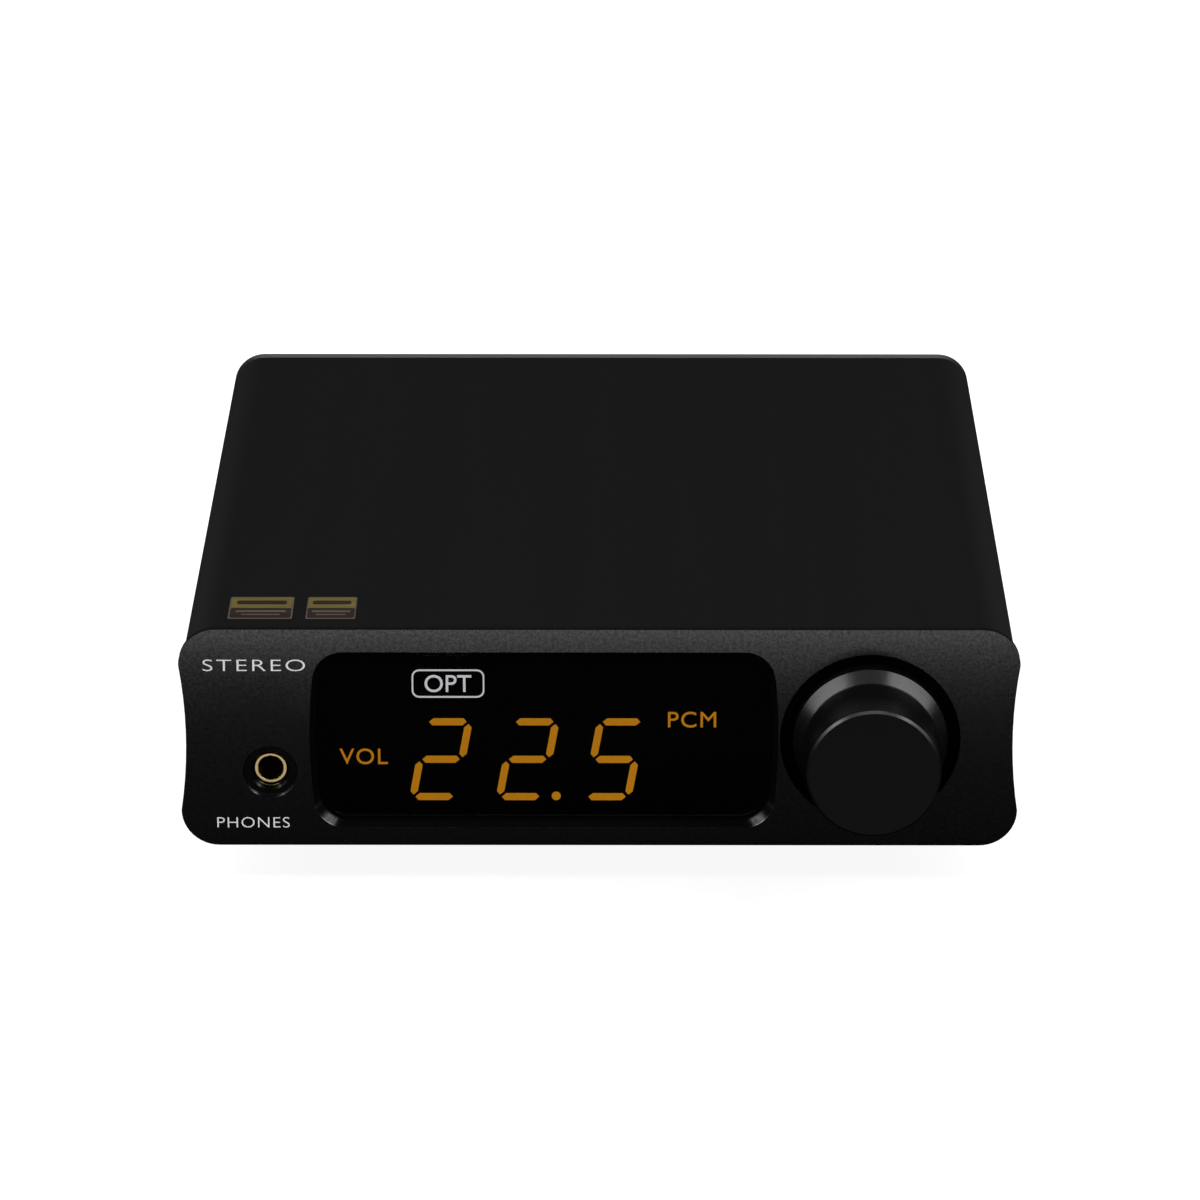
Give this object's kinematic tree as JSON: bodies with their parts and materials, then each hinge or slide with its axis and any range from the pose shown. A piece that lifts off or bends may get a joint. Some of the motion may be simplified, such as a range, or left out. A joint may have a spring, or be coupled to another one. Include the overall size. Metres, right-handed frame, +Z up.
{
  "type": "desktop digital-to-analogue converter",
  "caption": "Black desktop audio converter and headphone amplifier: waisted aluminium case, lit amber display, volume knob that turns and clicks, headphone jack and rear sockets.",
  "frame": {"origin": "centre of the overall box at the level of the feet's undersides", "axes": "+X to the right seen from the front, +Y to the rear, +Z up; the front panel faces -Y"},
  "size_m": [0.12, 0.1526, 0.038],
  "materials": {
    "panel_anodised": "fine bead-blasted black anodising",
    "case_anodised": "satin black anodised extrusion",
    "knob_anodised": "turned black anodising, satin",
    "black_screws": "black oxide, slightly glossy",
    "foot_rubber": "matt",
    "window_acrylic": "dark smoked, high gloss",
    "black_tape": "matt",
    "display_black": "matt",
    "amber_light": "lit amber",
    "white_light": "lit white",
    "circuit_board": "green solder resist, semi-gloss",
    "natural_plastic": "satin",
    "ribbon_film": "smooth",
    "nickel": "satin nickel",
    "black_plastic": "fine moulded texture",
    "gold_plate": "bright gold plating",
    "white_plastic": "smooth",
    "red_plastic": "smooth",
    "capacitor_sleeve": "shrunk film",
    "chip_resin": "moulded resin",
    "foil_label": "printed metallic foil"
  },
  "bodies": {
    "chassis": {"front_panel": "panel_anodised", "case_shell": "case_anodised", "rear_panel": "case_anodised", "rear_panel_screws": "black_screws", "front_panel_screws": "black_screws", "foot_front_left": "foot_rubber", "foot_front_right": "foot_rubber", "foot_rear_left": "foot_rubber", "foot_rear_right": "foot_rubber", "display_window": "window_acrylic", "window_tape": "black_tape", "display_module": "display_black", "ir_receiver": "display_black", "display_digits": "amber_light", "volume_legend": "amber_light", "format_legend": "amber_light", "input_legend": "white_light", "front_board": "circuit_board", "main_board": "circuit_board", "ribbon_sockets": "natural_plastic", "ribbon_cable": "ribbon_film", "encoder_nut": "nickel", "encoder_washer": "nickel", "shutter_pin": "nickel", "shutter_spring": "nickel", "usb_port_shell": "nickel", "dc_inlet_pin": "nickel", "socket_nuts": "nickel", "bluetooth_module": "nickel", "encoder_body": "black_plastic", "headphone_jack_body": "black_plastic", "optical_port": "black_plastic", "usb_port_tongue": "black_plastic", "dc_inlet": "black_plastic", "power_switch_body": "black_plastic", "coax_insulator": "black_plastic", "antenna_lead": "black_plastic", "headphone_jack_ring": "gold_plate", "headphone_jack_contacts": "gold_plate", "rca_left_shell": "gold_plate", "rca_right_shell": "gold_plate", "coax_shell": "gold_plate", "rca_left_contact": "gold_plate", "rca_right_contact": "gold_plate", "coax_contact": "gold_plate", "antenna_socket": "gold_plate", "antenna_nut": "gold_plate", "rca_left_insulator": "white_plastic", "rca_right_insulator": "red_plastic", "filter_capacitors": "capacitor_sleeve", "circuit_chips": "chip_resin", "label_left": "foil_label", "label_right": "foil_label"},
    "push_stem": {"encoder_plunger": "natural_plastic"},
    "knob": {"volume_knob": "knob_anodised", "knob_set_screw": "black_screws", "encoder_shaft": "nickel"},
    "rotor": {"encoder_rotor": "natural_plastic"},
    "shutter": {"optical_shutter": "black_plastic"},
    "rocker": {"power_rocker": "black_plastic"}
  },
  "joints": [
    {"name": "knob_push", "type": "slide", "parent": "chassis", "child": "push_stem", "axis": [0, 1, 0], "range_m": [0, 0.0005], "stiffness_N_per_m": 5000, "springref_m": -0.0002},
    {"name": "knob_turn", "type": "hinge", "parent": "push_stem", "child": "knob", "pos_m": [0.03875, -0.06765, 0.02135], "axis": [0, 1, 0], "continuous": true},
    {"name": "rotor_turn", "type": "hinge", "parent": "chassis", "child": "rotor", "pos_m": [0.03875, -0.05315, 0.02135], "axis": [0, 1, 0], "continuous": true},
    {"name": "shutter_swing", "type": "hinge", "parent": "chassis", "child": "shutter", "pos_m": [0.008, 0.06645, 0.02585], "axis": [-1, 0, 0], "range_deg": [0, 82], "stiffness_Nm_per_rad": 0.0005, "springref_deg": -11.46},
    {"name": "rocker_tilt", "type": "hinge", "parent": "chassis", "child": "rocker", "pos_m": [0.0465, 0.06545, 0.0215], "axis": [1, 0, 0], "range_deg": [-22, 0]}
  ],
  "couplings": [
    {"joint": "rotor_turn", "follows": "knob_turn", "ratio": 1}
  ]
}
